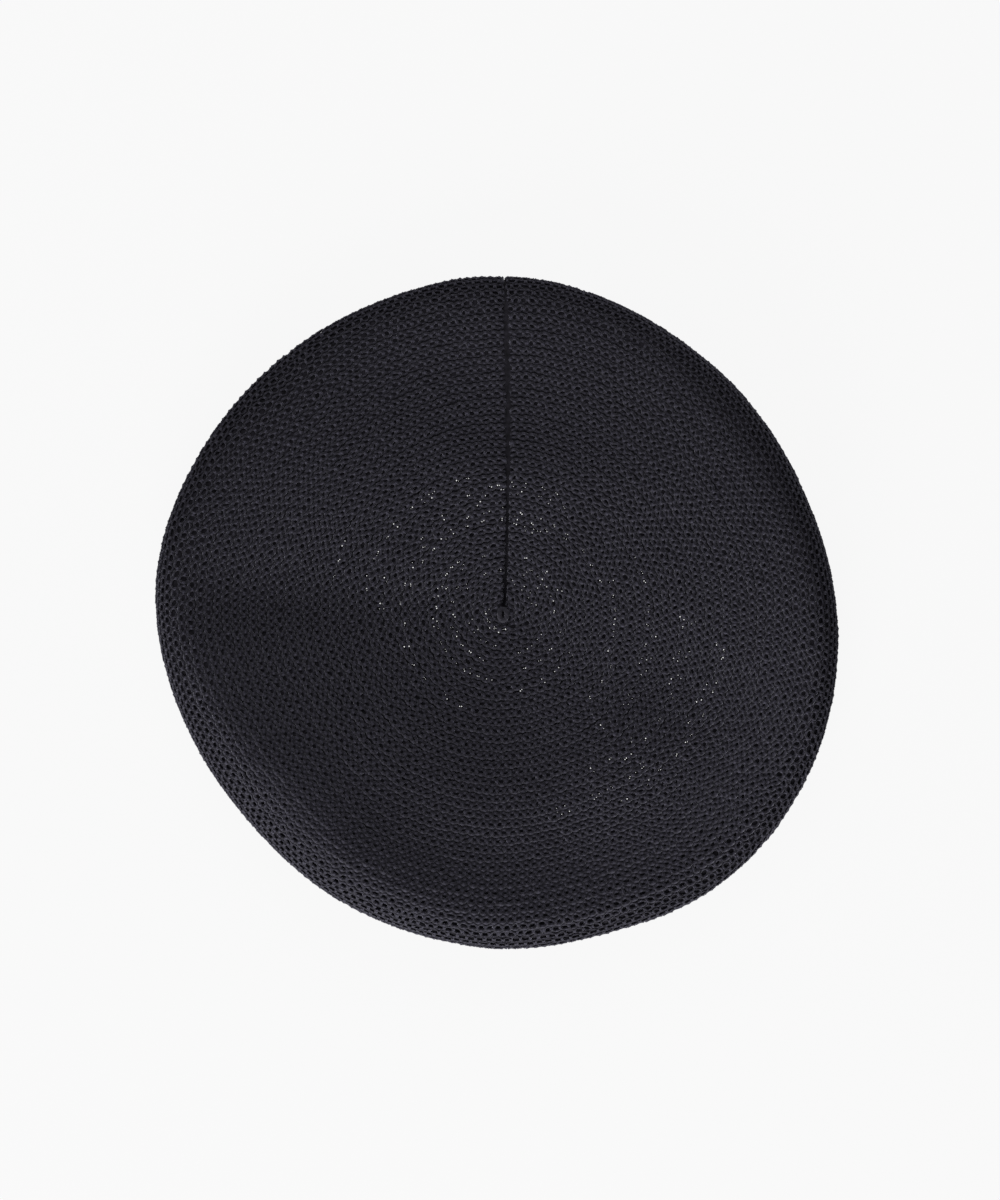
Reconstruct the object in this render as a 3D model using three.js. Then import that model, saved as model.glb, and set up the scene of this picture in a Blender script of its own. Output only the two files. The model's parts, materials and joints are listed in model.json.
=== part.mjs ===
// A knitted tam beret lying crown up, as it rests by itself on a table.
// Two pieces: the crown, one knitted shell that turns over a rolled rim to the head opening, and the
// headband, a doubled knitted band that stands inside the opening.
// Millimetres, +Z up, the seam at the back (+Y), the origin under the middle on the table.

import * as THREE from "three";

// Driving dimensions
const fabric = 2.0; // thickness of the crown's knitted fabric
const fabricColour = "#26252b";
const bandColour = "#222126";

const knitCentre = { x: 2.7, y: -0.8 }; // where the stitch rings and the seam start
const restHeight = 27; // mean height of the crown's top over the table
const crestSpread = 1.6; // how fast the crest's ups and downs fade towards the middle
const foldFade = 22; // the folds die out over this distance inside the crest
const widestHeight = 0.42; // height of the rim's widest line, as a share of the crest's
const undercut = 14; // how far the rim turns in under its widest line

const seam = { bearing: 90, halfWidth: 1.5, depth: 0.9, notch: 1.3, notchWidth: 4 };

const headOpening = { x: 7, y: -14.5, halfWidth: 94, halfDepth: 78 };
const band = { thickness: 3, height: 24, gap: 0.5, lift: 0.4, topGap: 0.7, edge: 0.8 };

// The rolled rim by bearing, counted from +X towards the back: how far it reaches from the middle,
// how wide its outer slope is, and how high its crest stands.
const rim = [
  { at: 0, reach: 141, shoulder: 12, crest: 31 },
  { at: 20, reach: 137, shoulder: 16, crest: 34 },
  { at: 40, reach: 136, shoulder: 18, crest: 34 },
  { at: 58, reach: 136, shoulder: 13, crest: 30 },
  { at: 75, reach: 138, shoulder: 10, crest: 25 },
  { at: 90, reach: 140, shoulder: 11, crest: 21 },
  { at: 105, reach: 138, shoulder: 11, crest: 19.5 },
  { at: 125, reach: 138, shoulder: 16, crest: 20 },
  { at: 150, reach: 139.5, shoulder: 14, crest: 24 },
  { at: 175, reach: 142, shoulder: 10, crest: 29 },
  { at: 200, reach: 137.5, shoulder: 18, crest: 34 },
  { at: 220, reach: 135, shoulder: 26, crest: 38 },
  { at: 240, reach: 136.5, shoulder: 21, crest: 37 },
  { at: 258, reach: 138, shoulder: 19, crest: 32 },
  { at: 272, reach: 140, shoulder: 17, crest: 27 },
  { at: 290, reach: 141, shoulder: 14, crest: 22 },
  { at: 300, reach: 144.2, shoulder: 13, crest: 20.5 },
  { at: 310, reach: 146.4, shoulder: 12, crest: 19.5 },
  { at: 325, reach: 146.5, shoulder: 11, crest: 20.5 },
  { at: 342, reach: 144.5, shoulder: 11, crest: 25 },
];

// Folds and dents of the limp top: the place of the middle, the bearing that it runs along, its
// half length and half width, and how much it lifts the cloth.
const folds = [
  { name: "sag over the head opening", x: -9, y: -4, along: 45, length: 60, width: 36, lift: -6 },
  { name: "hollow at the left", x: -83, y: 16, along: 18, length: 58, width: 32, lift: -5 },
  { name: "crease at the left", x: -97, y: 8, along: 6, length: 30, width: 9, lift: -1.6 },
  { name: "trough behind the band", x: -5, y: 84, along: -30, length: 60, width: 34, lift: -2.6 },
  { name: "ridge over the band, front right", x: 55, y: -62, along: 24, length: 28, width: 21, lift: 4.6 },
  { name: "ridge over the band, back", x: 16, y: 56, along: -8, length: 44, width: 15, lift: 2.2 },
  { name: "ridge over the band, front", x: 0, y: -80, along: 0, length: 58, width: 15, lift: 1.6 },
  { name: "trough inside the front roll", x: -44, y: -84, along: -17, length: 28, width: 18, lift: -2 },
  { name: "high side at the right", x: 101, y: 52, along: 90, length: 30, width: 30, lift: 1.4 },
];

// How finely the shapes are cut
const crownColumns = 80;
const topSteps = 12;
const shoulderSteps = 6;
const undercutSteps = 4;
const underSteps = 3;
const bandColumns = 60;

const radians = THREE.MathUtils.degToRad;

// A smooth value between the rows of the rim table, which closes on itself.
function rimAt(column, bearing) {
  const turn = THREE.MathUtils.euclideanModulo(bearing, 360);
  const row = (i) => {
    const turns = Math.floor(i / rim.length);
    const entry = rim[i - turns * rim.length];
    return { at: entry.at + 360 * turns, value: entry[column] };
  };
  const start = rim.findLastIndex((entry) => entry.at <= turn);
  const [before, from, to, after] = [start - 1, start, start + 1, start + 2].map(row);
  const span = to.at - from.at;
  const t = (turn - from.at) / span;
  const slopeFrom = ((to.value - before.value) / (to.at - before.at)) * span;
  const slopeTo = ((after.value - from.value) / (after.at - from.at)) * span;
  return (
    from.value * (2 * t ** 3 - 3 * t ** 2 + 1) +
    slopeFrom * (t ** 3 - 2 * t ** 2 + t) +
    to.value * (3 * t ** 2 - 2 * t ** 3) +
    slopeTo * (t ** 3 - t ** 2)
  );
}

// What all the folds add to the height at one place.
function foldLift(x, y) {
  return folds.reduce((sum, fold) => {
    const turn = radians(fold.along);
    const dx = x - fold.x;
    const dy = y - fold.y;
    const along = dx * Math.cos(turn) + dy * Math.sin(turn);
    const across = dy * Math.cos(turn) - dx * Math.sin(turn);
    return sum + fold.lift * Math.exp(-((along / fold.length) ** 2) - (across / fold.width) ** 2);
  }, 0);
}

// The height of the crown's top inside its crest.
function topHeight(x, y) {
  const bearing = THREE.MathUtils.radToDeg(Math.atan2(y, x));
  const radius = Math.hypot(x, y);
  const crestRadius = rimAt("reach", bearing) - rimAt("shoulder", bearing);
  const share = Math.min(radius / crestRadius, 1);
  const fade = THREE.MathUtils.smoothstep(crestRadius - radius, 0, foldFade);
  return restHeight + (rimAt("crest", bearing) - restHeight) * share ** crestSpread + foldLift(x, y) * fade;
}

// The distance from the middle to the edge of the head opening, along one bearing.
function openingRadius(bearing) {
  const direction = new THREE.Vector2(Math.cos(radians(bearing)), Math.sin(radians(bearing)));
  const scale = new THREE.Vector2(1 / headOpening.halfWidth, 1 / headOpening.halfDepth);
  const ray = direction.clone().multiply(scale);
  const start = new THREE.Vector2(-headOpening.x, -headOpening.y).multiply(scale);
  const half = ray.dot(start);
  return (-half + Math.sqrt(half ** 2 - ray.lengthSq() * (start.lengthSq() - 1))) / ray.lengthSq();
}

// One column of the crown's outer skin, from beside the knit's centre over the rim to the opening.
// side is -1, 0 or 1 on the columns that make the seam's groove, and undefined on the others.
function crownColumn(bearing, side) {
  const points = [];
  const place = (radius, height, middle = 0) => {
    const widest = (0.45 * 360) / crownColumns;
    const turn = side ? Math.min(THREE.MathUtils.radToDeg(seam.halfWidth / radius), widest) : 0;
    const angle = radians(bearing + turn * (side ?? 0));
    const x = radius * Math.cos(angle) + knitCentre.x * middle;
    const y = radius * Math.sin(angle) + knitCentre.y * middle;
    points.push(new THREE.Vector3(x, y, height ?? topHeight(x, y)));
  };
  const shoulder = rimAt("shoulder", bearing);
  const crest = rimAt("crest", bearing);
  const fromSeam = radians(THREE.MathUtils.euclideanModulo(bearing - seam.bearing + 180, 360) - 180);
  const reach = rimAt("reach", bearing);
  const notch = seam.notch * Math.exp(-((((fromSeam * reach) / seam.notchWidth) ** 2)));
  const waist = crest * widestHeight;
  for (let i = 1; i <= topSteps; i++) {
    place(((reach - shoulder) * i) / topSteps, undefined, 1 - i / topSteps);
  }
  for (let i = 1; i <= shoulderSteps; i++) {
    const turn = (Math.PI / 2) * (i / shoulderSteps);
    const pull = notch * Math.sin(turn);
    place(reach - shoulder * (1 - Math.sin(turn)) - pull, waist + (crest - waist) * Math.cos(turn));
  }
  for (let i = 1; i <= undercutSteps; i++) {
    const turn = (Math.PI / 2) * (i / undercutSteps);
    const pull = notch * Math.cos(turn);
    place(reach - undercut * (1 - Math.cos(turn)) - pull, waist * (1 - Math.sin(turn)));
  }
  for (let i = 1; i <= underSteps; i++) {
    place(THREE.MathUtils.lerp(reach - undercut, openingRadius(bearing), i / underSteps), 0);
  }
  return points;
}

// The outward direction at each point of a grid of columns that closes on itself.
function gridNormals(grid) {
  return grid.map((column, c) =>
    column.map((point, r) => {
      const left = grid[(c + grid.length - 1) % grid.length][r];
      const right = grid[(c + 1) % grid.length][r];
      const inner = column[Math.max(r - 1, 0)];
      const outer = column[Math.min(r + 1, column.length - 1)];
      return outer.clone().sub(inner).cross(right.clone().sub(left)).normalize();
    }),
  );
}

// A closed mesh from columns of points. Each column runs on into the next, and where the first and
// last rows have a pole, a fan closes them. Without poles, the last row joins the first.
function closedMesh(grid, poles) {
  const rows = grid[0].length;
  const vertices = [...grid.flat(), ...poles];
  const at = (c, r) => (c % grid.length) * rows + (r % rows);
  const faces = [];
  for (let c = 0; c < grid.length; c++) {
    const lastRow = poles.length ? rows - 1 : rows;
    for (let r = 0; r < lastRow; r++) {
      faces.push([at(c, r), at(c, r + 1), at(c + 1, r + 1)]);
      faces.push([at(c, r), at(c + 1, r + 1), at(c + 1, r)]);
    }
    if (poles.length) {
      faces.push([vertices.length - 2, at(c, 0), at(c + 1, 0)]);
      faces.push([vertices.length - 1, at(c + 1, rows - 1), at(c, rows - 1)]);
    }
  }
  const geometry = new THREE.BufferGeometry().setFromPoints(vertices);
  geometry.setIndex(faces.flat());
  return geometry;
}

// The crown: an outer skin from the pole to the opening, and an inner skin back to a second pole.
function crownGeometry() {
  const step = 360 / crownColumns;
  const grid = [crownColumn(seam.bearing, 0), crownColumn(seam.bearing, 1)];
  for (let i = 1; i < crownColumns; i++) {
    grid.push(crownColumn(seam.bearing + i * step));
  }
  grid.push(crownColumn(seam.bearing, -1));
  const normals = gridNormals(grid);
  const skins = grid.map((column, c) => {
    const inner = column.map((point, r) => point.clone().addScaledVector(normals[c][r], -fabric));
    return [...column, ...inner.reverse()];
  });
  const grooveRows = topSteps + shoulderSteps + undercutSteps;
  for (let r = 1; r < grooveRows; r++) {
    skins[0][r].addScaledVector(normals[0][r], -seam.depth * Math.min(r / 2, 1));
  }
  const pole = new THREE.Vector3(knitCentre.x, knitCentre.y, topHeight(knitCentre.x, knitCentre.y));
  const innerPole = pole.clone().setZ(pole.z - fabric);
  return closedMesh(skins, [pole, innerPole]);
}

// The headband: an upright band whose top follows the cloth that lies over it.
function bandGeometry() {
  const grid = [];
  const { x, y, halfWidth, halfDepth } = headOpening;
  for (let i = 0; i < bandColumns; i++) {
    const turn = (2 * Math.PI * i) / bandColumns;
    const rimPoint = new THREE.Vector2(x + halfWidth * Math.cos(turn), y + halfDepth * Math.sin(turn));
    const outward = new THREE.Vector2(
      halfDepth * Math.cos(turn),
      halfWidth * Math.sin(turn),
    ).normalize();
    const atDepth = (depth, height) => {
      const point = rimPoint.clone().addScaledVector(outward, -band.gap - depth);
      return new THREE.Vector3(point.x, point.y, height);
    };
    const inside = [0, band.thickness].map((depth) => atDepth(depth, 0));
    const cloth = Math.min(...inside.map((point) => topHeight(point.x, point.y))) - fabric;
    const top = Math.min(band.lift + band.height, cloth - band.topGap);
    const { thickness, lift, edge: round } = band;
    grid.push([
      atDepth(round, lift),
      atDepth(thickness - round, lift),
      atDepth(thickness, lift + round),
      atDepth(thickness, top - round),
      atDepth(thickness - round, top),
      atDepth(round, top),
      atDepth(0, top - round),
      atDepth(0, lift + round),
    ]);
  }
  return closedMesh(grid, []);
}

function knittedPiece(name, geometry, color) {
  const material = new THREE.MeshStandardMaterial({ color, roughness: 0.85, metalness: 0 });
  const piece = new THREE.Mesh(geometry, material);
  piece.name = name;
  return piece;
}

const crown = knittedPiece("crown", crownGeometry(), fabricColour);
const headband = knittedPiece("headband", bandGeometry(), bandColour);

const beret = new THREE.Group();
beret.add(crown, headband);

// The origin goes under the middle of the whole hat.
const middle = new THREE.Box3().setFromObject(beret).getCenter(new THREE.Vector3());
beret.position.set(-middle.x, -middle.y, 0);

export default beret;
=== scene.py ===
import json
import math

import bmesh
import bpy
import numpy as np
from mathutils import Matrix, Vector
from mathutils.bvhtree import BVHTree

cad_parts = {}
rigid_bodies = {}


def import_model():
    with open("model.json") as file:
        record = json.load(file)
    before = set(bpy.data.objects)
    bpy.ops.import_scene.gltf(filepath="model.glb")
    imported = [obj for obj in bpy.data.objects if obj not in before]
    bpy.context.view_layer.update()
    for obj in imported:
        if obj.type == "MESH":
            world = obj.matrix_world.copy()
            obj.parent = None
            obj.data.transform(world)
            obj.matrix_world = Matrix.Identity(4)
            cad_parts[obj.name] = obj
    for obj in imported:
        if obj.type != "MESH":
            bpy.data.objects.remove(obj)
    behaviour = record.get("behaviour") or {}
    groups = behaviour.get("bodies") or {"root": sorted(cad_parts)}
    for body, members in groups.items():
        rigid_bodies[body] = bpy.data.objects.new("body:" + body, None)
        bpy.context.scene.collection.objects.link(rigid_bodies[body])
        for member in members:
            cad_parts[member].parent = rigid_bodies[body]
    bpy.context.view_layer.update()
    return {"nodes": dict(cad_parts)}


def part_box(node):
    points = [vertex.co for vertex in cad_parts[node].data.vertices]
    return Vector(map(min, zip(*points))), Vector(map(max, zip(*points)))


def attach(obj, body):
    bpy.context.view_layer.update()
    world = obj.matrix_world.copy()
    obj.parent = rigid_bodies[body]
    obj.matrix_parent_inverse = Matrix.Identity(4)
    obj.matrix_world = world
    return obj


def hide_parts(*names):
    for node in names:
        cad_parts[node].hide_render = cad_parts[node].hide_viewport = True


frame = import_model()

# The camera looks straight down on the hat from a copy stand, through a long lens. The back of the
# hat, with its seam, is at the top of the view, and the hat sits a little low in it.
camera_height = 2.4
view_width = 0.4156
view_centre = (0.0015, 0.0046)

camera_data = bpy.data.cameras.new("copy_stand_camera")
camera_data.sensor_fit = "HORIZONTAL"
camera_data.sensor_width = 36
camera_data.lens = camera_data.sensor_width * camera_height / view_width
camera_data.clip_end = 20
camera = bpy.data.objects.new("copy_stand_camera", camera_data)
camera.location = (*view_centre, camera_height)
bpy.context.scene.collection.objects.link(camera)
bpy.context.scene.camera = camera


# The studio: a plain white lit table and one large softbox low at the front, a little to the left,
# which rakes across the knit. A weak second one at the back keeps the far rim from going black.
def linear(colour):
    """A colour given as sRGB hex, such as 1f2023, in the linear values that shaders take."""
    channels = [int(colour[i:i + 2], 16) / 255 for i in (0, 2, 4)]
    return [c / 12.92 if c <= 0.04045 else ((c + 0.055) / 1.055) ** 2.4 for c in channels] + [1.0]


def add_node(tree, kind, inputs=(), **settings):
    """Adds a node, with its settings, and gives its inputs values or links from other sockets."""
    node = tree.nodes.new(kind)
    for name, value in settings.items():
        setattr(node, name, value)
    for name, value in dict(inputs).items():
        if isinstance(value, bpy.types.NodeSocket):
            tree.links.new(value, node.inputs[name])
        else:
            node.inputs[name].default_value = value
    return node


def new_material(name):
    """An empty material, its tree and its output node."""
    made = bpy.data.materials.new(name)
    made.use_nodes = True
    made.node_tree.nodes.clear()
    output = add_node(made.node_tree, "ShaderNodeOutputMaterial")
    return made, made.node_tree, output


table_size = 12
table_glow = 0.45
table_white_seen = 0.91

# The opal sheet scatters its light evenly, so the eye gets a white ground with no hot spot. The
# camera sees it whiter than it shines on the hat, which keeps the black yarn from washing out.
bpy.ops.mesh.primitive_plane_add(size=table_size)
table = bpy.context.object
table.name = "light_table"
table_white, tree, output = new_material("opal acrylic, lit from inside")
ray = add_node(tree, "ShaderNodeLightPath")
seen = add_node(tree, "ShaderNodeMix", {
    "Factor": ray.outputs["Is Camera Ray"],
    "A": table_glow,
    "B": table_white_seen,
})
opal = add_node(tree, "ShaderNodeBsdfPrincipled", {
    "Base Color": linear("404040"),
    "Roughness": 0.9,
    "Specular IOR Level": 0.0,
    "Emission Color": linear("ffffff"),
    "Emission Strength": seen.outputs[0],
})
tree.links.new(opal.outputs[0], output.inputs[0])
table.data.materials.append(table_white)


def softbox(name, bearing, elevation, distance, size, power):
    """A square softbox that faces the hat from a bearing (degrees from +X) and an elevation."""
    turn = math.radians(bearing)
    tilt = math.radians(elevation)
    place = Vector((math.cos(turn) * math.cos(tilt), math.sin(turn) * math.cos(tilt), math.sin(tilt)))
    lamp = bpy.data.lights.new(name, "AREA")
    lamp.size = size
    lamp.energy = power
    holder = bpy.data.objects.new(name, lamp)
    holder.location = place * distance
    holder.rotation_euler = place.to_track_quat("Z", "Y").to_euler()
    bpy.context.scene.collection.objects.link(holder)


softbox("front_softbox", bearing=258, elevation=15, distance=1.6, size=0.9, power=30)
softbox("back_softbox", bearing=105, elevation=35, distance=1.6, size=0.9, power=6.5)

studio_fill = 0.28
studio = bpy.data.worlds.new("studio")
studio.use_nodes = True
studio.node_tree.nodes["Background"].inputs["Color"].default_value = linear("f4f4f5")
studio.node_tree.nodes["Background"].inputs["Strength"].default_value = studio_fill
bpy.context.scene.world = studio
bpy.context.scene.view_settings.view_transform = "Standard"


# The lie of the crown's cloth. The knit is limp, so it hangs in the folds of the CAD crown; rays
# find that skin along meridians from the knit's centre, over the rim and under to the head opening.
# Rings of stitches are counted out along every meridian, so a bearing and a ring name any point.
mm = 0.001
knit_centre = np.array([2.73, -0.54, 0]) * mm
seam_bearing = math.radians(90)
meridian_count = 240
rings_on_top = 42
rings_below = 16
ring_count = rings_on_top + rings_below
steps_per_ring = 2


def lie_of(node):
    """A search tree of a CAD node's skin, with its facets joined and rounded."""
    shape = bmesh.new()
    shape.from_mesh(node.data)
    bmesh.ops.remove_doubles(shape, verts=shape.verts, dist=0.001 * mm)
    bmesh.ops.join_triangles(
        shape, faces=shape.faces, angle_face_threshold=math.pi, angle_shape_threshold=math.pi)
    mesh = bpy.data.meshes.new("lie")
    shape.to_mesh(mesh)
    shape.free()
    rounded = bpy.data.objects.new("lie", mesh)
    bpy.context.scene.collection.objects.link(rounded)
    rounding = rounded.modifiers.new("rounding", "SUBSURF")
    rounding.levels = rounding.render_levels = 1
    tree = BVHTree.FromObject(rounded, bpy.context.evaluated_depsgraph_get())
    bpy.data.objects.remove(rounded)
    bpy.data.meshes.remove(mesh)
    return tree


def meridian(tree, bearing):
    """How far out and how high the skin is, in small steps from the knit's centre to the opening."""
    step, fine_step = 2 * mm, 0.5 * mm
    core_depth, core_height = 14 * mm, 12 * mm
    clear, beyond = 80 * mm, 0.3
    round_rim = np.radians(np.arange(90, -91, -7.5))
    highest_underside = 4 * mm
    out = Vector((math.cos(bearing), math.sin(bearing), 0))
    up = Vector((0, 0, 1))
    centre = Vector(knit_centre)
    rim, *_ = tree.ray_cast(centre + out * beyond + up * core_height, -out)
    core_radius = (rim - centre).dot(out) - core_depth
    core = centre + out * core_radius + up * core_height
    found = [tree.ray_cast(centre + out * radius + up * clear, -up)[0]
             for radius in np.arange(0, core_radius, step)]
    for tilt in round_rim:
        ray = out * math.cos(tilt) + up * math.sin(tilt)
        found.append(tree.ray_cast(core + ray * clear, -ray)[0])
    for radius in np.arange(core_radius - fine_step, 0, -fine_step):
        under = tree.ray_cast(centre + out * radius - up * clear, up)[0]
        if under is None or under.z > highest_underside:
            break
        found.append(under)
    return np.array([((point - centre).dot(out), point.z) for point in found])


def even_steps(line, walked, start, end, count):
    """The stretch of a line from start to end, both as lengths along it, in count equal steps."""
    wanted = np.linspace(start, end, count + 1)
    return np.stack([np.interp(wanted, walked, column) for column in line.T], axis=1)


def smoothed(values, passes):
    """Values round the hat, each evened out with its neighbours."""
    for _ in range(passes):
        values = (np.roll(values, 1, axis=0) + 2 * values + np.roll(values, -1, axis=0)) / 4
    return values


crown_lie = lie_of(frame["nodes"]["crown"])
bearings = np.arange(meridian_count) * 2 * math.pi / meridian_count
lines = [meridian(crown_lie, bearing) for bearing in bearings]
lengths = [np.r_[0, np.cumsum(np.hypot(*np.diff(line, axis=0).T))] for line in lines]
to_widest = smoothed(np.array([w[line[:, 0].argmax()] for line, w in zip(lines, lengths)]), passes=8)
lie = np.array([
    np.concatenate([
        even_steps(line, walked, 0, widest, rings_on_top * steps_per_ring)[:-1],
        even_steps(line, walked, widest, walked[-1], rings_below * steps_per_ring),
    ])
    for line, walked, widest in zip(lines, lengths, to_widest)
])
lie[:, 0, 0] = 0
lie[:, 0, 1] = lie[:, 0, 1].mean()

# The CAD crown's seam is a broad groove. The cloth here runs straight across it, and the knit's own
# narrow seam is sunk into it below.
seam_column = round(seam_bearing / (2 * math.pi) * meridian_count)
clear_columns = 5
for column in range(1 - clear_columns, clear_columns):
    share = (column + clear_columns) / (2 * clear_columns)
    lie[seam_column + column] = (
        lie[seam_column - clear_columns] * (1 - share) + lie[seam_column + clear_columns] * share)
lie = smoothed(lie, passes=2)

# Round the front the rim is blown a little fuller than the CAD facets.
fuller_bearing = math.radians(300)
fuller_by = 1.0 * mm
fuller_spread = 1.5
fuller_narrowing = 0.4
fuller_by_ring = {"ring": [0, 30, 42, 50, 58], "share": [0, 0, 1, 0.6, 0]}
rows = np.arange(lie.shape[1]) / steps_per_ring
lie[..., 0] += fuller_by * np.interp(rows, fuller_by_ring["ring"], fuller_by_ring["share"]) \
    * np.clip(fuller_spread * np.cos(bearings - fuller_bearing) - fuller_narrowing, 0, 1)[:, None]

skin = np.zeros((*lie.shape[:2], 3))
skin[..., 0] = knit_centre[0] + lie[..., 0] * np.cos(bearings)[:, None]
skin[..., 1] = knit_centre[1] + lie[..., 0] * np.sin(bearings)[:, None]
skin[..., 2] = lie[..., 1]

# The middle hangs lower towards the front, behind the rolled rim, and a shallow valley runs in
# from the left edge.
sag_depth = 2.5 * mm
sag_bearing = math.radians(245)
sag_length = 70 * mm
sag_width = 90 * mm
sag_by_ring = {"ring": [0, 31, 33, 37, 39], "share": [1, 1, 0.85, 0.15, 0]}
valley_depth = 1.7 * mm
valley_middle = np.array([-68, 4]) * mm
valley_half_size = np.array([50, 13]) * mm

forward = skin[..., 0] * math.cos(sag_bearing) + skin[..., 1] * math.sin(sag_bearing)
across = skin[..., 0] * math.sin(sag_bearing) - skin[..., 1] * math.cos(sag_bearing)
sag = sag_depth * np.clip(0.5 + forward / sag_length, 0, 1) * np.exp(-(across / sag_width) ** 2) \
    * np.interp(rows, sag_by_ring["ring"], sag_by_ring["share"])
valley = valley_depth * np.exp(-(((skin[..., :2] - valley_middle) / valley_half_size) ** 2).sum(axis=-1))
skin[..., 2] -= smoothed(sag + valley, passes=4)
outward = np.cross(np.gradient(skin, axis=1), np.roll(skin, -1, axis=0) - np.roll(skin, 1, axis=0))
outward[:, 0] = outward[:, 1].mean(axis=0)
outward /= np.linalg.norm(outward, axis=2, keepdims=True)

seam_length = 140 * mm
seam_bow = 2.1 * mm
seam_sink = 2.4 * mm
seam_half_width = 1.0 * mm
seam_start = 2 * mm
sink_by_ring = {"ring": [0, 36, 41], "share": [1, 1, 0.2]}


def from_seam(points):
    """How far points lie to the right of the slightly bowed seam, and how far behind its start."""
    aside, behind = points[..., 0] - knit_centre[0], points[..., 1] - knit_centre[1]
    return aside - seam_bow * np.sqrt(np.sin(math.pi * np.clip(behind / seam_length, 0, 1))), behind


def cloth(turn, ring, lift=0.0):
    """Points of the crown by bearing and ring, lifted off its skin, and the outward directions."""
    turn, ring, lift = np.broadcast_arrays(turn, ring, lift)
    column = turn / (2 * math.pi) * meridian_count
    short_of_last = 1.001
    row = np.clip(ring * steps_per_ring, 0, skin.shape[1] - short_of_last)
    c, r = np.floor(column).astype(int), np.floor(row).astype(int)
    across, along = (column - c)[..., None], (row - r)[..., None]
    c, next_c = c % meridian_count, (c + 1) % meridian_count

    def between(grid):
        near = grid[c, r] * (1 - across) + grid[next_c, r] * across
        far = grid[c, r + 1] * (1 - across) + grid[next_c, r + 1] * across
        return near * (1 - along) + far * along

    points, normals = between(skin), between(outward)
    beside, behind = from_seam(points)
    sunk = seam_sink * np.exp(-(beside / seam_half_width) ** 2) * np.clip(behind / seam_start, 0, 1) \
        * np.interp(ring, sink_by_ring["ring"], sink_by_ring["share"])
    return points + normals * (lift - sunk)[..., None], normals


def tubes(name, centres, normals, thickness, sides=4):
    """One mesh of many closed yarn loops: centres and normals are arrays of loops by points."""
    count, steps, _ = centres.shape
    tangents = np.roll(centres, -1, axis=1) - np.roll(centres, 1, axis=1)
    tangents /= np.linalg.norm(tangents, axis=2, keepdims=True)
    aside = np.cross(tangents, normals)
    aside /= np.linalg.norm(aside, axis=2, keepdims=True)
    above = np.cross(aside, tangents)
    turns = np.arange(sides) * 2 * math.pi / sides
    radius = np.broadcast_to(thickness, (count, steps))[..., None, None] / 2
    points = centres[:, :, None] + radius * (
        above[:, :, None] * np.cos(turns)[:, None] + aside[:, :, None] * np.sin(turns)[:, None])
    loop, step, side = np.indices((count, steps, sides))
    next_step, next_side = (step + 1) % steps, (side + 1) % sides
    at = [(loop * steps + s) * sides + w
          for s, w in ((step, side), (step, next_side), (next_step, next_side), (next_step, side))]
    faces = np.stack(at, axis=-1).reshape(-1, 4)
    mesh = bpy.data.meshes.new(name)
    mesh.from_pydata(points.reshape(-1, 3), [], faces)
    mesh.shade_smooth()

    # Every loop has the same map: its share of the way along the yarn, and its share round it.
    along = [(step + s) / steps for s in (0, 0, 1, 1)]
    around = [(side + w) / sides for w in (0, 1, 1, 0)]
    loop_map = mesh.uv_layers.new(name="OFBake")
    corners = np.stack([np.stack(along, -1), np.stack(around, -1)], -1)
    loop_map.data.foreach_set("uv", corners.astype(np.float32).ravel())
    made = bpy.data.objects.new(name, mesh)
    bpy.context.scene.collection.objects.link(made)
    return made


def yarn_material(name, twists, tones):
    """Matt black three-ply yarn, its twists counted along a loop. The eye sees fine slanting plies and a
    soft sheen of fuzz. The tones are given by share of the way round the loop, so they can paint light
    and shade onto the yarn: on the crown's stitches, a painted highlight where the yarn stands up and
    painted shade between."""
    plies, ply_relief = 3.0, 0.08 * mm
    made, tree, output = new_material(name)
    loop_map = add_node(tree, "ShaderNodeUVMap", uv_map="OFBake")
    place = add_node(tree, "ShaderNodeSeparateXYZ", {"Vector": loop_map.outputs[0]})
    colour = add_node(tree, "ShaderNodeValToRGB", {"Fac": place.outputs["X"]})
    for number, tone in enumerate(tones):
        ends = colour.color_ramp.elements
        stop = ends[number] if number < 2 else ends.new(tone["share"])
        stop.position = tone["share"]
        stop.color = linear(tone["colour"])
    along = add_node(tree, "ShaderNodeMath", {0: place.outputs["X"], 1: twists}, operation="MULTIPLY")
    around = add_node(tree, "ShaderNodeMath", {0: place.outputs["Y"], 1: plies}, operation="MULTIPLY")
    turn = add_node(tree, "ShaderNodeMath", {0: along.outputs[0], 1: around.outputs[0]}, operation="ADD")
    phase = add_node(tree, "ShaderNodeMath", {0: turn.outputs[0], 1: 2 * math.pi}, operation="MULTIPLY")
    ridges = add_node(tree, "ShaderNodeMath", {0: phase.outputs[0]}, operation="SINE")
    relief = add_node(tree, "ShaderNodeBump", {
        "Height": ridges.outputs[0],
        "Strength": 0.6,
        "Distance": ply_relief,
    })
    fibres = add_node(tree, "ShaderNodeBsdfPrincipled", {
        "Base Color": colour.outputs[0],
        "Roughness": 0.8,
        "Specular IOR Level": 0.35,
        "Sheen Weight": 0.35,
        "Sheen Roughness": 0.45,
        "Sheen Tint": linear("b8b8c4"),
        "Normal": relief.outputs[0],
    })
    tree.links.new(fibres.outputs[0], output.inputs[0])
    return made


# The crown's stitches: rings of open yarn loops, each loop's head over the tails of the next ring's.
# Every ring is worked half a stitch on from the last, with its increases spread round it, tight over
# the top, flattest just behind the front rim, and stretched more open at the rim.
pitches = {"ring": [0, 30, 40, ring_count], "pitch": [3.3, 3.3, 3.7, 3.5]}

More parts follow.
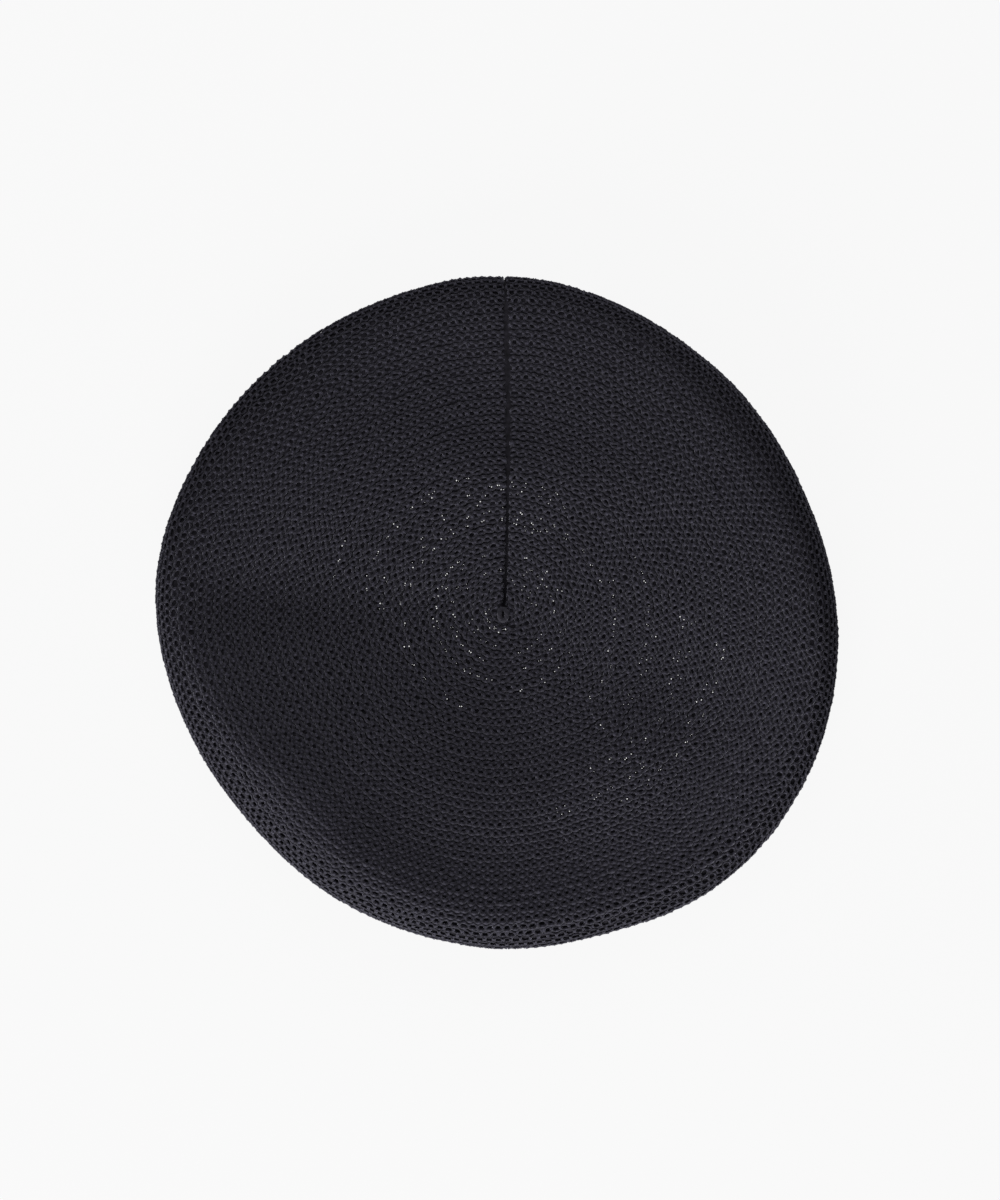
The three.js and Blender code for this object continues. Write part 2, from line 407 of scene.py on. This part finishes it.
# How open a stitch is, by its ring, in mm: how far its legs are drawn in, how far its head reaches
# past half-way to the next ring (it stops short of it), and the yarn's thickness in legs and head.
openness = [
    {"ring": 0, "leg_inset": 0.02, "head_reach": -0.52, "leg": 1.45, "head": 1.30},
    {"ring": 33, "leg_inset": 0.04, "head_reach": -0.50, "leg": 1.45, "head": 1.30},
    {"ring": 37, "leg_inset": 0.05, "head_reach": -0.33, "leg": 1.05, "head": 1.00},
    {"ring": 46, "leg_inset": 0.05, "head_reach": -0.33, "leg": 1.05, "head": 1.00},
    {"ring": 50, "leg_inset": 0.10, "head_reach": -0.33, "leg": 1.45, "head": 1.30},
]

flattening = {"ring": [0, 22, 28, 32, 37, 39], "share": [0, 0.2, 0.3, 1, 1, 0]}
flattened_by = 0.60 * mm
stitch_lift = -0.95 * mm
leg_rise = 0.35 * mm
head_rise = 0.15 * mm
seam_gap = 0.5 * mm
first_ring_sink = 0.5 * mm
first_ring_count = 7
widest_gap = 1.12
slip_aside = 0.13 * mm
slip_along = 0.04
uneven_size = 0.10
uneven_lean = 0.25 * mm
uneven_lift = 0.1 * mm
# Painted light and shade on the stitch yarn: a painted highlight on the raised legs where the loops
# meet, a lesser painted highlight on heads and tails, and painted shade between them.
painted_highlight_tone, painted_end_highlight_tone, painted_shade_tone = "444250", "3f3d4a", "1f1d27"

hand = np.random.default_rng(seed=11)
stitch_yarn = yarn_material("black three-ply yarn", twists=7, tones=[
    {"share": 0.00, "colour": painted_highlight_tone},
    {"share": 1.00, "colour": painted_highlight_tone},
    {"share": 0.08, "colour": painted_shade_tone},
    {"share": 0.17, "colour": painted_shade_tone},
    {"share": 0.25, "colour": painted_end_highlight_tone},
    {"share": 0.33, "colour": painted_shade_tone},
    {"share": 0.42, "colour": painted_shade_tone},
    {"share": 0.50, "colour": painted_highlight_tone},
    {"share": 0.58, "colour": painted_shade_tone},
    {"share": 0.67, "colour": painted_shade_tone},
    {"share": 0.75, "colour": painted_end_highlight_tone},
    {"share": 0.83, "colour": painted_shade_tone},
    {"share": 0.92, "colour": painted_shade_tone},
])


def worked_on(places, wanted):
    """The next ring's places: half a stitch on, with stitches added or dropped to the wanted count."""
    uneven_choice, evening, passes = 0.1, 0.5, 4
    after = np.r_[places[1:], places[0] + 1]
    middles, gaps = (places + after) / 2, after - places
    change = wanted - len(places)
    if change:
        order = np.roll(np.arange(len(places)), hand.integers(len(places)))
        fit = np.sign(change) * gaps * (1 + uneven_choice * hand.normal(size=len(gaps)))
        chosen = [part[fit[part].argmax()] for part in np.array_split(order, abs(change))]
        if change > 0:
            added = middles[chosen] + gaps[chosen] / 4
            middles[chosen] -= gaps[chosen] / 4
            middles = np.r_[middles, added]
        else:
            middles = np.delete(middles, chosen)
    middles = np.sort(np.mod(middles, 1))
    for _ in range(passes):
        before = np.r_[middles[-1] - 1, middles[:-1]]
        after = np.r_[middles[1:], middles[0] + 1]
        middles = middles + evening * ((before + after) / 2 - middles)
    return middles


girths = 2 * math.pi * lie[:, ::steps_per_ring, 0].mean(axis=0)
places = (np.arange(first_ring_count) + 0.5) / first_ring_count
worked = []
for ring in range(1, ring_count + 1):
    pitch = np.interp(ring, pitches["ring"], pitches["pitch"]) * mm
    if ring > 1:
        places = worked_on(places, round(girths[ring] / pitch))
    gaps = np.diff(np.r_[places[-1] - 1, places, places[0] + 1]) * girths[ring]
    gap = np.minimum((gaps[1:] + gaps[:-1]) / 2, widest_gap * pitch)
    uneven = hand.normal(size=(2, len(places)))
    turn = seam_bearing + 2 * math.pi * (places + slip_aside * uneven[0] / girths[ring])
    number = np.full(len(gap), ring)
    worked.append(np.stack([turn, ring + slip_along * uneven[1], gap, number], axis=1))
stitches = np.concatenate(worked)


def stitch_loops(name, chosen, steps, sides):
    """The chosen stitches as one piece of closed yarn loops, each a little uneven."""
    closest_in, front_spread = 1.5 * mm, 1.5
    seam_fade_rings, seam_reach = 10, 4 * mm
    turn, ring, gap, number = (column[:, None] for column in stitches[chosen].T)
    count = len(turn)
    middle, _ = cloth(turn, ring)
    radius = np.hypot(middle[..., 0] - knit_centre[0], middle[..., 1] - knit_centre[1])
    spacing = np.linalg.norm(cloth(turn, ring + 0.5)[0] - cloth(turn, ring - 0.5)[0], axis=2)
    inset, head_reach, leg, head = (
        np.interp(ring, [row["ring"] for row in openness], [row[key] for row in openness]) * mm
        for key in ("leg_inset", "head_reach", "leg", "head"))
    uneven = hand.normal(size=(4, count, 1))
    wide = (gap / 2 - inset) * (1 + uneven_size * uneven[0])
    long = (spacing / 2 + head_reach) * (1 + uneven_size * uneven[1])
    angle = np.arange(steps) * 2 * math.pi / steps
    aside = wide * np.cos(angle) + uneven_lean * uneven[2] * np.sin(angle)
    along = long * np.sin(angle)
    flat = flattened_by * np.clip(-front_spread * np.sin(turn), 0, 1) * np.interp(
        ring, flattening["ring"], flattening["share"])
    lift = (stitch_lift + leg_rise * np.cos(angle) ** 2 + head_rise * np.sin(angle)
            + flat * np.sin(angle) ** 2 - first_ring_sink * (number == 1))
    points, normals = cloth(
        turn + aside / np.maximum(radius + along, closest_in), ring + along / spacing,
        lift + uneven_lift * uneven[3])

    # Beside the seam the loops are pressed into two straight edges.
    side = np.sign(from_seam(middle)[0])
    beside, behind = from_seam(points)
    gap_here = seam_gap * np.clip((rings_on_top + 1 - ring - along / spacing) / seam_fade_rings, 0, 1)
    short = np.maximum(gap_here + leg / 2 - side * beside, 0) * (behind > 0)
    points[..., 0] += side * short * (short < seam_reach)
    thickness = leg + (head - leg) * np.abs(np.sin(angle)) + flat

    # Underneath, the table holds the loops up.
    points[..., 2] = np.maximum(points[..., 2], thickness / 2)
    return tubes(name, points, normals, thickness, sides)


stitch_pieces = [
    {"name": "crown_stitches_centre", "from_ring": 1, "to_ring": 26, "steps": 10, "sides": 4},
    {"name": "crown_stitches_top", "from_ring": 27, "to_ring": 36, "steps": 10, "sides": 4},
    {"name": "crown_stitches_rim", "from_ring": 37, "to_ring": 45, "steps": 10, "sides": 4},
    {"name": "crown_stitches_under_rim", "from_ring": 46, "to_ring": 51, "steps": 10, "sides": 4},
    {"name": "crown_stitches_underside", "from_ring": 52, "to_ring": 58, "steps": 8, "sides": 3},
]
for row in stitch_pieces:
    chosen = (stitches[:, 3] >= row["from_ring"]) & (stitches[:, 3] <= row["to_ring"])
    piece = stitch_loops(row["name"], chosen, row["steps"], row["sides"])
    piece.data.materials.append(stitch_yarn)
    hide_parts("crown")
    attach(piece, "root")


# The drawn-in centre. The end of the seam's thread is left as one thick oval loop, which gathers
# the first ring of stitches round it. Its upper end is drawn down into the seam.
loop_half_width = 1.55 * mm
loop_half_length = 2.4 * mm
loop_back = -0.95 * mm
loop_lift = -0.4 * mm
loop_thickness = 1.9 * mm
loop_dip = 2.5 * mm
loop_dip_start = 0.3
loop_steps = 24
drawn_up_tone = "302e37"

angle = np.arange(loop_steps) * 2 * math.pi / loop_steps
centres = np.stack([
    knit_centre[0] + loop_half_width * np.cos(angle),
    knit_centre[1] + loop_half_length * np.sin(angle) + loop_back,
    lie[0, 0, 1] + loop_lift - loop_dip * np.clip(np.sin(angle) - loop_dip_start, 0, 1),
], axis=1)[None]
centre_loop = tubes(
    "crown_centre_loop", centres, np.broadcast_to([0.0, 0.0, 1.0], centres.shape), loop_thickness,
    sides=8)
centre_loop.data.materials.append(yarn_material("black three-ply yarn, drawn up", twists=10, tones=[
    {"share": 0.00, "colour": drawn_up_tone},
    {"share": 1.00, "colour": drawn_up_tone},
]))
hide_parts("crown")
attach(centre_loop, "root")


# The inner face of the double knit lies behind the open stitches and closes most of them. It is the
# same yarn, worked close. Where a stitch was pulled wide, a pinhole goes right through.
inner_depths = {"ring": [0, 20, 30, 36, 40], "depth": [1.2, 1.2, 0.95, 0.95, 1.35]}
inner_thickness = 0.7 * mm
inner_columns = 120
innermost_ring = 0.02
same_place = 0.01
purl_size = 2.2 * mm
# The second tone is painted shade for the hollows between purls.
purl_tone, painted_hollow_shade_tone = "2b2931", "0e0d11"
smallest_pinhole = 0.10 * mm
largest_pinhole = 0.27 * mm
pinhole_spacing = 0.8 * mm
pinhole_bias_to_small = 1.5
pinholes_per_place = 2
pin_length = 12 * mm
pin_sides = 8
off_the_seam = 1.5 * mm
scatter_degrees = 1.5
search_steps, search_step_mm = 6, 0.2
wide_enough = 0.4 * mm
nearness = 0.2
look_from, look_down_by = 80 * mm, 76 * mm

# The pinholes show on arcs round the knit's centre: a radius in mm, two bearings in degrees, and the
# number of places between them.
pinhole_arcs = [
    {"radius": 7, "from": 175, "to": 280, "count": 7},
    {"radius": 13, "from": 15, "to": 70, "count": 4},
    {"radius": 14, "from": 195, "to": 255, "count": 4},
    {"radius": 18, "from": 35, "to": 145, "count": 5},
    {"radius": 18, "from": 290, "to": 325, "count": 3},
    {"radius": 21, "from": 5, "to": 55, "count": 5},
    {"radius": 21, "from": 155, "to": 245, "count": 8},
    {"radius": 25, "from": 20, "to": 155, "count": 7},
    {"radius": 25, "from": 295, "to": 340, "count": 4},
    {"radius": 28, "from": 130, "to": 260, "count": 15},
    {"radius": 32, "from": 285, "to": 330, "count": 4},
    {"radius": 36, "from": 65, "to": 80, "count": 4},
    {"radius": 39, "from": 50, "to": 160, "count": 12},
    {"radius": 42, "from": 20, "to": 110, "count": 10},
    {"radius": 42, "from": 140, "to": 245, "count": 10},
    {"radius": 46, "from": -20, "to": 15, "count": 6},
    {"radius": 46, "from": 105, "to": 140, "count": 3},
    {"radius": 50, "from": 60, "to": 105, "count": 7},
    {"radius": 50, "from": 165, "to": 180, "count": 3},
    {"radius": 50, "from": 315, "to": 335, "count": 3},
    {"radius": 53, "from": 65, "to": 100, "count": 6},
    {"radius": 57, "from": 105, "to": 170, "count": 12},
    {"radius": 60, "from": -20, "to": 25, "count": 7},
    {"radius": 63, "from": 315, "to": 350, "count": 6},
    {"radius": 71, "from": 155, "to": 170, "count": 3},
    {"radius": 74, "from": 300, "to": 315, "count": 3},
    {"radius": 74, "from": -20, "to": 25, "count": 11},
    {"radius": 78, "from": 305, "to": 355, "count": 8},
    {"radius": 85, "from": 285, "to": 315, "count": 12},
    {"radius": 89, "from": 330, "to": 355, "count": 5},
    {"radius": 92, "from": 305, "to": 330, "count": 8},
    {"radius": 92, "from": 340, "to": 355, "count": 5},
]

shape = bmesh.new()
profile = [shape.verts.new((row / 2, 0, 0)) for row in range(2 * ring_count + 1)]
edges = [shape.edges.new(pair) for pair in zip(profile, profile[1:])]
bmesh.ops.spin(
    shape, geom=profile + edges, axis=(0, 0, 1), angle=2 * math.pi, steps=inner_columns,
    use_merge=True)
bmesh.ops.remove_doubles(shape, verts=shape.verts, dist=same_place)
disc = np.array([vert.co[:2] for vert in shape.verts])
rings = np.maximum(np.hypot(*disc.T), innermost_ring)
behind_skin = np.interp(rings, inner_depths["ring"], inner_depths["depth"]) * mm
points, _ = cloth(np.arctan2(disc[:, 1], disc[:, 0]), rings, -behind_skin)
for vert, point in zip(shape.verts, points):
    vert.co = point
bmesh.ops.recalc_face_normals(shape, faces=shape.faces)
inner_mesh = bpy.data.meshes.new("crown_inner_knit")
shape.to_mesh(inner_mesh)
shape.free()
inner_knit = bpy.data.objects.new("crown_inner_knit", inner_mesh)
bpy.context.scene.collection.objects.link(inner_knit)
thickening = inner_knit.modifiers.new("knit thickness", "SOLIDIFY")
thickening.thickness = inner_thickness
thickening.offset = -1

# Pinholes go straight down, two to a place, through the widest gaps between the loops there.
bpy.context.view_layer.update()
loops = [bpy.data.objects[row["name"]] for row in stitch_pieces[:3]]
reach = np.arange(-search_steps, search_steps + 1) * search_step_mm * mm
nearby = np.stack(np.meshgrid(reach, reach), axis=-1).reshape(-1, 2)
pinholes = np.zeros((0, 2))
for row in pinhole_arcs:
    spread = np.linspace(row["from"], row["to"], row["count"])
    for bearing in np.radians(spread + hand.normal(size=row["count"]) * scatter_degrees):
        target = knit_centre[:2] + row["radius"] * mm * np.array([math.cos(bearing), math.sin(bearing)])
        free = np.array([
            not any(piece.ray_cast((x, y, look_from), (0, 0, -1), distance=look_down_by)[0]
                    for piece in loops)
            for x, y in target + nearby])
        if free.all() or not free.any():
            continue
        gaps = nearby[free]
        width = np.linalg.norm(gaps[:, None] - nearby[~free][None], axis=2).min(axis=1)
        merit = np.minimum(width, wide_enough) - nearness * np.linalg.norm(gaps, axis=1)
        beside, behind = from_seam(target + gaps)
        merit[(np.abs(beside) < off_the_seam) & (behind > 0)] = -1
        for _ in range(pinholes_per_place):
            taken = np.linalg.norm(target + gaps[:, None] - pinholes[None], axis=2)
            merit[(taken < pinhole_spacing).any(axis=1)] = -1
            if merit.max() > -1:
                pinholes = np.vstack([pinholes, target + gaps[merit.argmax()]])
shape = bmesh.new()
for x, y in pinholes:
    share = hand.random() ** pinhole_bias_to_small
    size = smallest_pinhole + (largest_pinhole - smallest_pinhole) * share
    bmesh.ops.create_cone(
        shape, cap_ends=True, cap_tris=False, segments=pin_sides, radius1=size, radius2=size,
        depth=pin_length, matrix=Matrix.Translation((x, y, lie[0, 0, 1])), calc_uvs=False)
pin_mesh = bpy.data.meshes.new("pins")
shape.to_mesh(pin_mesh)
shape.free()
pins = bpy.data.objects.new("pins", pin_mesh)
bpy.context.scene.collection.objects.link(pins)
cutting = inner_knit.modifiers.new("pinholes", "BOOLEAN")
cutting.operation = "DIFFERENCE"
cutting.solver = "EXACT"
cutting.object = pins
pierced = bpy.data.meshes.new_from_object(
    inner_knit.evaluated_get(bpy.context.evaluated_depsgraph_get()))
inner_knit.modifiers.clear()
inner_knit.data = pierced
bpy.data.objects.remove(pins)
pierced.shade_smooth()

# Worked close, the same yarn gives the eye a soft dark mottle, one patch to each purl: the darker
# hollows between the purls are painted shade.
close_knit, tree, output = new_material("black three-ply yarn, worked close")
place = add_node(tree, "ShaderNodeTexCoord")
purls = add_node(tree, "ShaderNodeTexVoronoi", {
    "Vector": place.outputs["Object"],
    "Scale": 1 / purl_size,
})
shaded = add_node(tree, "ShaderNodeMix", {"Factor": purls.outputs["Distance"]}, data_type="RGBA")
shaded.inputs[6].default_value = linear(purl_tone)
shaded.inputs[7].default_value = linear(painted_hollow_shade_tone)
fibres = add_node(tree, "ShaderNodeBsdfPrincipled", {
    "Base Color": shaded.outputs[2],
    "Roughness": 0.9,
    "Specular IOR Level": 0.2,
})
tree.links.new(fibres.outputs[0], output.inputs[0])
pierced.materials.clear()
pierced.materials.append(close_knit)
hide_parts("crown")
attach(inner_knit, "root")


# The headband: a doubled band of close ribs, linked to the edge of the opening, which stands up
# inside the crown. Every rib runs up its inner face, over its top and down its outer face.
rib_pitch = 1.9 * mm
rib_thickness = 1.8 * mm
band_wall = 3 * mm
above_band = 80 * mm
rib_tone = "302e37"

band_low, band_high = (np.array(corner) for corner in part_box("headband"))
band_centre, band_half = (band_low + band_high) / 2, (band_high - band_low) / 2
band_lie = lie_of(frame["nodes"]["headband"])
mid_half = band_half[:2] - band_wall / 2
rib_count = round(math.pi * (3 * mid_half.sum() - math.sqrt(
    (3 * mid_half[0] + mid_half[1]) * (mid_half[0] + 3 * mid_half[1]))) / rib_pitch)
turn = np.arange(rib_count) * 2 * math.pi / rib_count
foot = band_centre[:2] + mid_half * np.stack([np.cos(turn), np.sin(turn)], axis=1)
out = np.stack([np.cos(turn) / mid_half[0], np.sin(turn) / mid_half[1]], axis=1)
out /= np.linalg.norm(out, axis=1, keepdims=True)
tops = np.array([band_lie.ray_cast((x, y, above_band), (0, 0, -1))[0].z for x, y in foot])
half_wall = (band_wall - rib_thickness) / 2
bend = np.radians([0, 45, 90, 135, 180])
outwards = half_wall * np.r_[np.cos(bend), -1, -1, -1, np.cos(bend + math.pi), 1, 1, 1]
upwards = half_wall * np.r_[np.sin(bend), 0, 0, 0, np.sin(bend + math.pi), 0, 0, 0]
share_up = np.r_[np.ones(5), 0.75, 0.5, 0.25, np.zeros(5), 0.25, 0.5, 0.75]
low = band_low[2] + rib_thickness / 2 + half_wall
high = tops - rib_thickness / 2 - half_wall
centres = np.empty((rib_count, len(outwards), 3))
centres[..., :2] = foot[:, None] + out[:, None] * outwards[None, :, None]
centres[..., 2] = low + (high - low)[:, None] * share_up + upwards
facing = np.zeros_like(centres)
facing[..., :2] = out[:, None] * (outwards / half_wall)[None, :, None]
facing[..., 2] = upwards / half_wall
headband = tubes("headband_ribs", centres, facing, rib_thickness, sides=4)
headband.data.materials.append(yarn_material("black three-ply yarn, in ribs", twists=50, tones=[
    {"share": 0.00, "colour": rib_tone},
    {"share": 1.00, "colour": rib_tone},
]))
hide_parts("headband")
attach(headband, "root")
